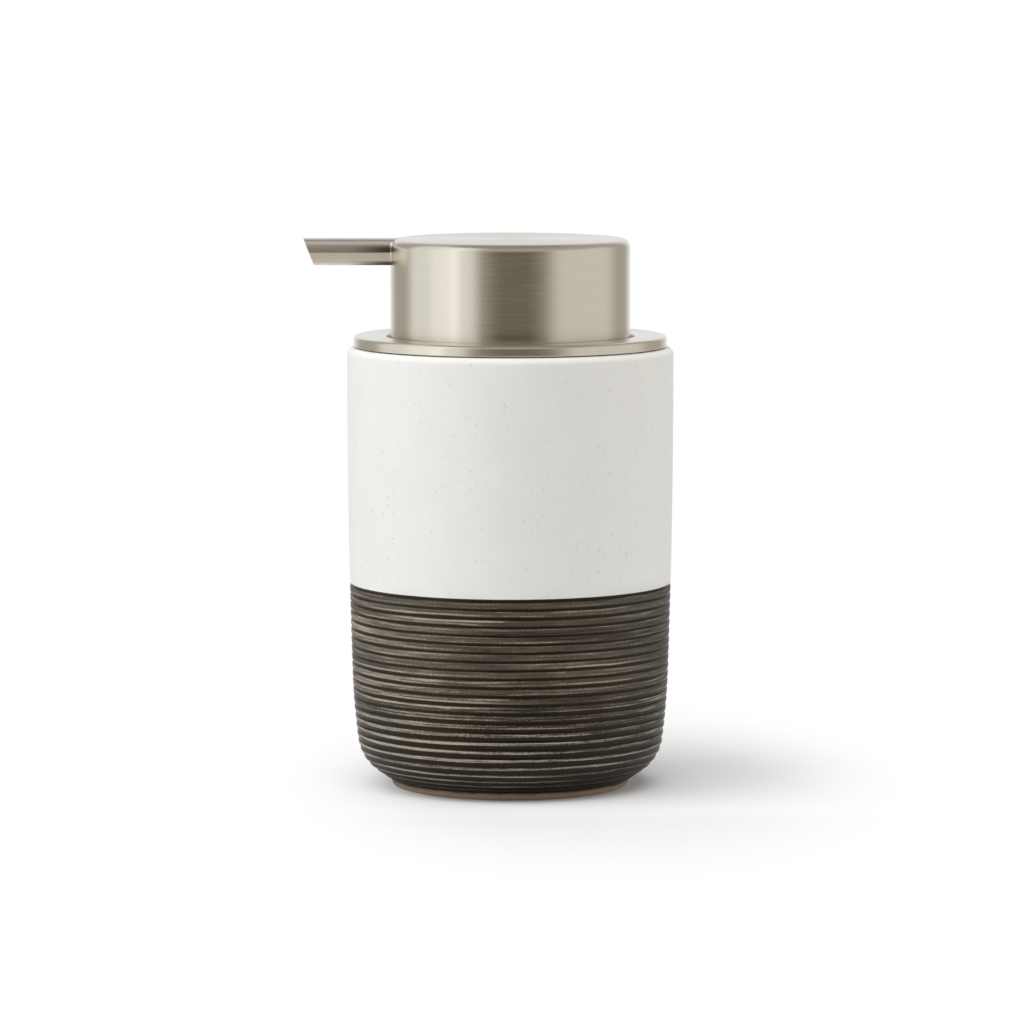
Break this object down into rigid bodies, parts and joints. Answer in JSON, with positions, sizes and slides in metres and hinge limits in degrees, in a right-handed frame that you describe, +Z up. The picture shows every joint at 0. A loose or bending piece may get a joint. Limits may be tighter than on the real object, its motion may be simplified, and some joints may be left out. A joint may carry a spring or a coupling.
{
  "type": "soap pump dispenser",
  "caption": "Ribbed stoneware jar with a lift-off pump: brushed metal collar, round push cap with a short flat-topped spout, sprung piston pump and dip tube.",
  "frame": {"origin": "on the jar's axis, in the plane of the foot ring that it stands on", "axes": "+Z up along the jar's axis, the spout points along -X at rest, +Y is to the back"},
  "size_m": [0.0883, 0.078, 0.1311],
  "materials": {
    "stoneware": "speckled matt white glaze above, dark satin glaze over ribs below, bare clay foot ring",
    "brushed_nickel": "spun and brushed, warm nickel plated",
    "grey_plastic": "moulded",
    "white_plastic": "moulded",
    "natural_plastic": "moulded, milky translucent",
    "silicone": "moulded",
    "spring_steel": "drawn wire",
    "bright_steel": "polished"
  },
  "bodies": {
    "jar": {"stoneware_jar": "stoneware"},
    "pump_unit": {"rim_gasket": "silicone", "collar_ring": "brushed_nickel", "well_cup": "grey_plastic", "plug_sleeve": "silicone", "closure_nut": "white_plastic", "cylinder_gasket": "silicone", "pump_cylinder": "natural_plastic", "stem_guide": "white_plastic", "stem_wiper": "silicone", "dip_tube": "natural_plastic", "ball_retainer": "white_plastic"},
    "inlet_valve": {"inlet_ball": "bright_steel"},
    "swivel": {"return_spring": "spring_steel"},
    "head": {"cap_shell": "brushed_nickel", "inner_actuator": "grey_plastic", "spout_shell": "brushed_nickel", "nozzle_tube": "natural_plastic", "stem": "white_plastic", "stem_plug": "white_plastic"},
    "piston": {"piston": "natural_plastic"}
  },
  "joints": [
    {"name": "pump_lift", "type": "slide", "parent": "jar", "child": "pump_unit", "axis": [0, 0, 1], "range_m": [0, 0.12]},
    {"name": "head_swivel", "type": "hinge", "parent": "pump_unit", "child": "swivel", "pos_m": [0, 0, 0.1], "axis": [0, 0, 1], "continuous": true},
    {"name": "head_press", "type": "slide", "parent": "swivel", "child": "head", "axis": [0, 0, -1], "range_m": [0, 0.012], "stiffness_N_per_m": 900, "springref_m": -0.009, "deforming": ["return_spring"]},
    {"name": "piston_slip", "type": "slide", "parent": "head", "child": "piston", "axis": [0, 0, 1], "range_m": [0, 0.0012]},
    {"name": "ball_lift", "type": "slide", "parent": "pump_unit", "child": "inlet_valve", "axis": [0, 0, 1], "range_m": [0, 0.0015]}
  ]
}
